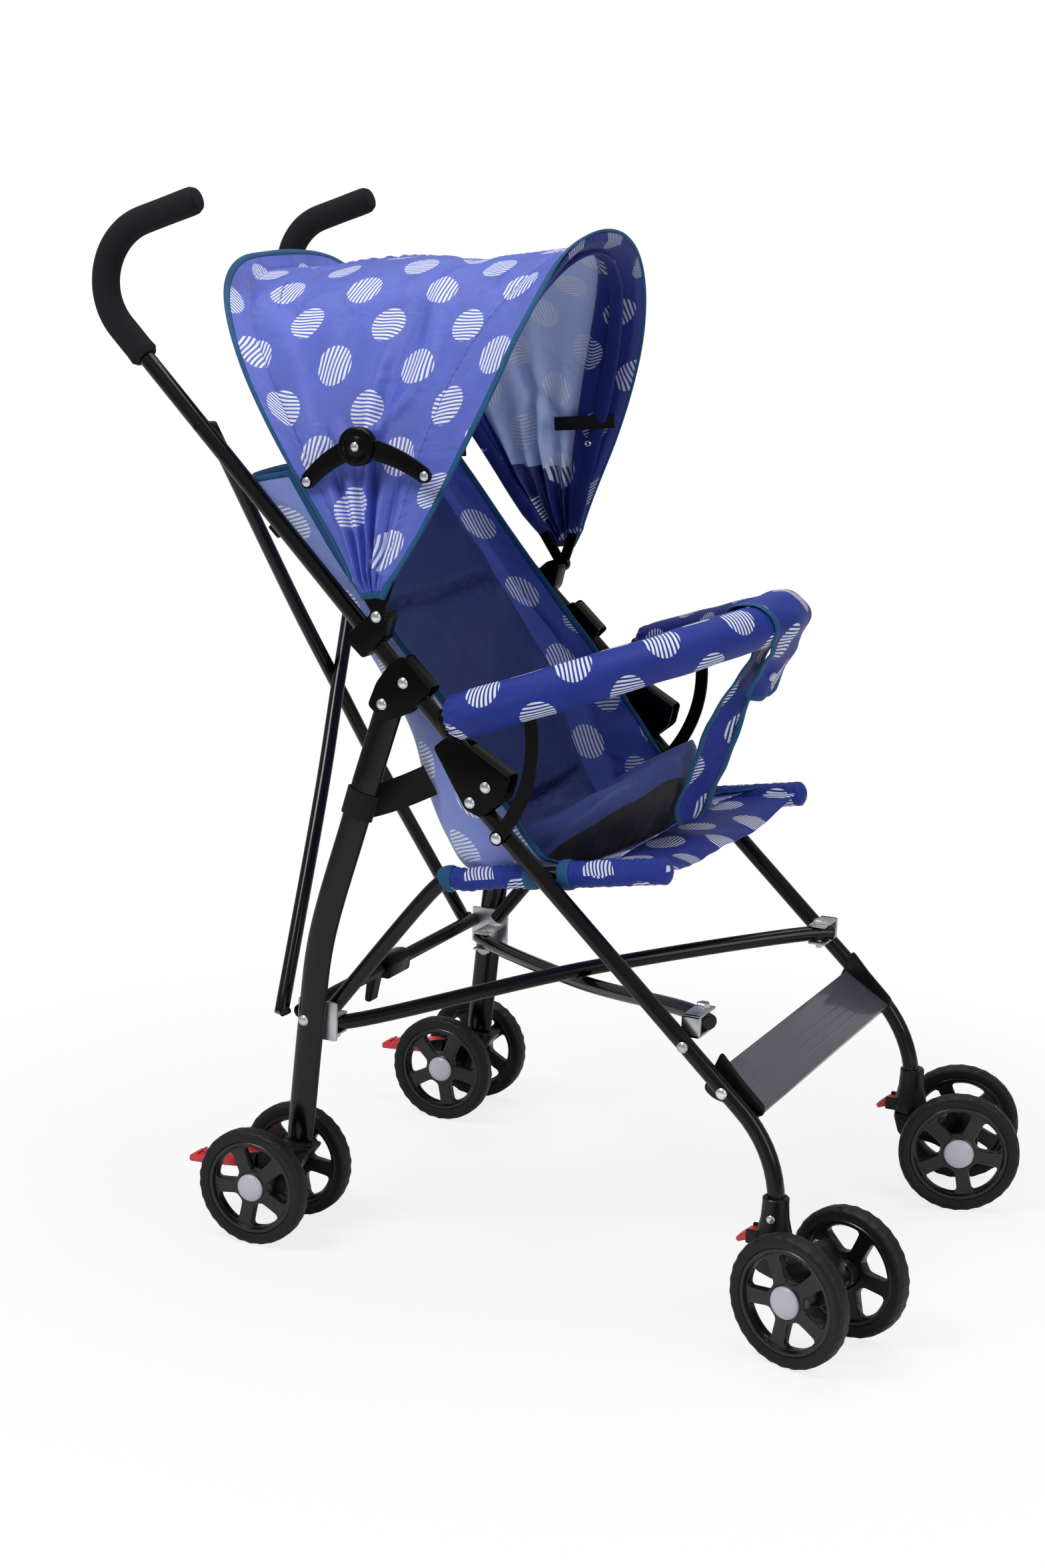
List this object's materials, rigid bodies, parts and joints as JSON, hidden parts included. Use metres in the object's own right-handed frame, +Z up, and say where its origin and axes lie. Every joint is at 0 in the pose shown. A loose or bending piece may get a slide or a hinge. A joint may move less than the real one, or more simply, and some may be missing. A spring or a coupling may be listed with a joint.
{
  "type": "baby stroller",
  "caption": "Light umbrella-fold baby stroller with crossed tube frame, twin swivel castors, braked rear wheels, sling seat, bumper bar and folding hood.",
  "frame": {"origin": "on the floor, below the middle of the stroller's bounding box", "axes": "+X towards the front wheels, +Y to the child's left, +Z up"},
  "size_m": [0.8644, 0.5794, 1.0004],
  "materials": {
    "black_paint": "gloss black stove enamel on steel tube",
    "black_plastic": "fine satin moulded nylon",
    "grip_foam": "closed-cell foam",
    "tyre_black": "moulded EVA tyre",
    "zinc": "bright zinc plate",
    "red_plastic": "gloss red moulding",
    "smoke_plastic": "smoky semi-gloss moulding",
    "blue_cloth": "satin polyester with striped dots",
    "navy_cloth": "quilted polyester"
  },
  "bodies": {
    "frame": {"handle_tube_left": "black_paint", "handle_grip_left": "grip_foam", "front_leg_left": "black_paint", "rear_leg_left": "black_paint", "upper_bracket_left": "black_plastic", "latch_bracket_left": "black_plastic", "seat_rail_left": "black_paint", "rear_housing_left": "black_plastic", "castor_socket_left": "black_plastic", "handle_tube_right": "black_paint", "handle_grip_right": "grip_foam", "front_leg_right": "black_paint", "rear_leg_right": "black_paint", "upper_bracket_right": "black_plastic", "latch_bracket_right": "black_plastic", "seat_rail_right": "black_paint", "rear_housing_right": "black_plastic", "castor_socket_right": "black_plastic", "back_cross_tube_left": "black_paint", "back_cross_tube_right": "black_paint", "base_cross_tube_left": "black_paint", "base_cross_tube_right": "black_paint", "rear_crossbar": "black_paint", "footrest": "smoke_plastic", "bumper_bar": "black_paint", "bumper_cover": "blue_cloth", "hood_rear_bow": "black_plastic", "hood_cloth": "blue_cloth", "seat_sling": "navy_cloth", "crotch_strap": "blue_cloth"},
    "hood_front": {"hood_front_bow": "black_plastic"},
    "crossbar_pedal": {"crossbar_lock_pedal": "black_plastic"},
    "hood_stay_rear_left": {"hood_stay_rear_arm_left": "black_plastic"},
    "hood_stay_front_left": {"hood_stay_front_arm_left": "black_plastic"},
    "hood_stay_rear_right": {"hood_stay_rear_arm_right": "black_plastic"},
    "hood_stay_front_right": {"hood_stay_front_arm_right": "black_plastic"},
    "castor_left": {"castor_fork_left": "black_plastic", "castor_axle_left": "zinc"},
    "swivel_lock_left": {"swivel_lock_left": "red_plastic"},
    "brake_left": {"brake_pedal_left": "red_plastic"},
    "front_wheel_outer_left": {"front_tyre_outer_left": "tyre_black", "front_hub_outer_left": "black_plastic"},
    "rear_wheel_outer_left": {"rear_tyre_outer_left": "tyre_black", "rear_hub_outer_left": "black_plastic"},
    "front_wheel_inner_left": {"front_tyre_inner_left": "tyre_black", "front_hub_inner_left": "black_plastic"},
    "rear_wheel_inner_left": {"rear_tyre_inner_left": "tyre_black", "rear_hub_inner_left": "black_plastic"},
    "castor_right": {"castor_fork_right": "black_plastic", "castor_axle_right": "zinc"},
    "swivel_lock_right": {"swivel_lock_right": "red_plastic"},
    "brake_right": {"brake_pedal_right": "red_plastic"},
    "front_wheel_outer_right": {"front_tyre_outer_right": "tyre_black", "front_hub_outer_right": "black_plastic"},
    "rear_wheel_outer_right": {"rear_tyre_outer_right": "tyre_black", "rear_hub_outer_right": "black_plastic"},
    "front_wheel_inner_right": {"front_tyre_inner_right": "tyre_black", "front_hub_inner_right": "black_plastic"},
    "rear_wheel_inner_right": {"rear_tyre_inner_right": "tyre_black", "rear_hub_inner_right": "black_plastic"}
  },
  "joints": [
    {"name": "hood_fold", "type": "hinge", "parent": "frame", "child": "hood_front", "pos_m": [-0.10279, 0, 0.619], "axis": [0, -1, 0], "range_deg": [0, 35], "deforming": ["hood_cloth"]},
    {"name": "hood_stay_rear_left", "type": "hinge", "parent": "frame", "child": "hood_stay_rear_left", "pos_m": [-0.18281, 0.2, 0.73631], "axis": [0, -1, 0], "range_deg": [0, 69.8]},
    {"name": "hood_stay_front_left", "type": "hinge", "parent": "hood_stay_rear_left", "child": "hood_stay_front_left", "pos_m": [-0.12879, 0.202, 0.773], "axis": [0, -1, 0], "range_deg": [-96.8, 0]},
    {"name": "hood_stay_rear_right", "type": "hinge", "parent": "frame", "child": "hood_stay_rear_right", "pos_m": [-0.18281, -0.2, 0.73631], "axis": [0, -1, 0], "range_deg": [0, 69.8]},
    {"name": "hood_stay_front_right", "type": "hinge", "parent": "hood_stay_rear_right", "child": "hood_stay_front_right", "pos_m": [-0.12879, -0.202, 0.773], "axis": [0, -1, 0], "range_deg": [-96.8, 0]},
    {"name": "castor_swivel_left", "type": "hinge", "parent": "frame", "child": "castor_left", "pos_m": [0.31021, 0.206, 0.086], "axis": [0, 0, 1], "continuous": true},
    {"name": "swivel_lock_left", "type": "hinge", "parent": "frame", "child": "swivel_lock_left", "pos_m": [0.29171, 0.206, 0.093], "axis": [0, 1, 0], "range_deg": [0, 18]},
    {"name": "brake_left", "type": "hinge", "parent": "frame", "child": "brake_left", "pos_m": [-0.23379, 0.204, 0.066], "axis": [0, -1, 0], "range_deg": [0, 14]},
    {"name": "front_wheel_outer_left", "type": "hinge", "parent": "castor_left", "child": "front_wheel_outer_left", "pos_m": [0.34724, 0.26551, 0.061], "axis": [-0.2756, 0.9613, 0], "continuous": true},
    {"name": "rear_wheel_outer_left", "type": "hinge", "parent": "frame", "child": "rear_wheel_outer_left", "pos_m": [-0.20679, 0.2476, 0.0576], "axis": [0, 1, 0], "continuous": true},
    {"name": "front_wheel_inner_left", "type": "hinge", "parent": "castor_left", "child": "front_wheel_inner_left", "pos_m": [0.37315, 0.17515, 0.061], "axis": [-0.2756, 0.9613, 0], "continuous": true},
    {"name": "rear_wheel_inner_left", "type": "hinge", "parent": "frame", "child": "rear_wheel_inner_left", "pos_m": [-0.20679, 0.1604, 0.0576], "axis": [0, 1, 0], "continuous": true},
    {"name": "castor_swivel_right", "type": "hinge", "parent": "frame", "child": "castor_right", "pos_m": [0.31021, -0.206, 0.086], "axis": [0, 0, 1], "continuous": true},
    {"name": "swivel_lock_right", "type": "hinge", "parent": "frame", "child": "swivel_lock_right", "pos_m": [0.29171, -0.206, 0.093], "axis": [0, 1, 0], "range_deg": [0, 18]},
    {"name": "brake_right", "type": "hinge", "parent": "frame", "child": "brake_right", "pos_m": [-0.23379, -0.204, 0.066], "axis": [0, -1, 0], "range_deg": [0, 14]},
    {"name": "front_wheel_outer_right", "type": "hinge", "parent": "castor_right", "child": "front_wheel_outer_right", "pos_m": [0.34724, -0.26551, 0.061], "axis": [0.2756, 0.9613, 0], "continuous": true},
    {"name": "rear_wheel_outer_right", "type": "hinge", "parent": "frame", "child": "rear_wheel_outer_right", "pos_m": [-0.20679, -0.2476, 0.0576], "axis": [0, 1, 0], "continuous": true},
    {"name": "front_wheel_inner_right", "type": "hinge", "parent": "castor_right", "child": "front_wheel_inner_right", "pos_m": [0.37315, -0.17515, 0.061], "axis": [0.2756, 0.9613, 0], "continuous": true},
    {"name": "rear_wheel_inner_right", "type": "hinge", "parent": "frame", "child": "rear_wheel_inner_right", "pos_m": [-0.20679, -0.1604, 0.0576], "axis": [0, 1, 0], "continuous": true},
    {"name": "crossbar_lock", "type": "hinge", "parent": "frame", "child": "crossbar_pedal", "pos_m": [-0.20629, 0, 0.221], "axis": [0, 1, 0], "range_deg": [0, 35]}
  ],
  "couplings": [
    {"joint": "hood_stay_rear_left", "follows": "hood_fold", "ratio": 1.98},
    {"joint": "hood_stay_front_left", "follows": "hood_fold", "ratio": -2.75},
    {"joint": "hood_stay_rear_right", "follows": "hood_fold", "ratio": 1.98},
    {"joint": "hood_stay_front_right", "follows": "hood_fold", "ratio": -2.75}
  ]
}
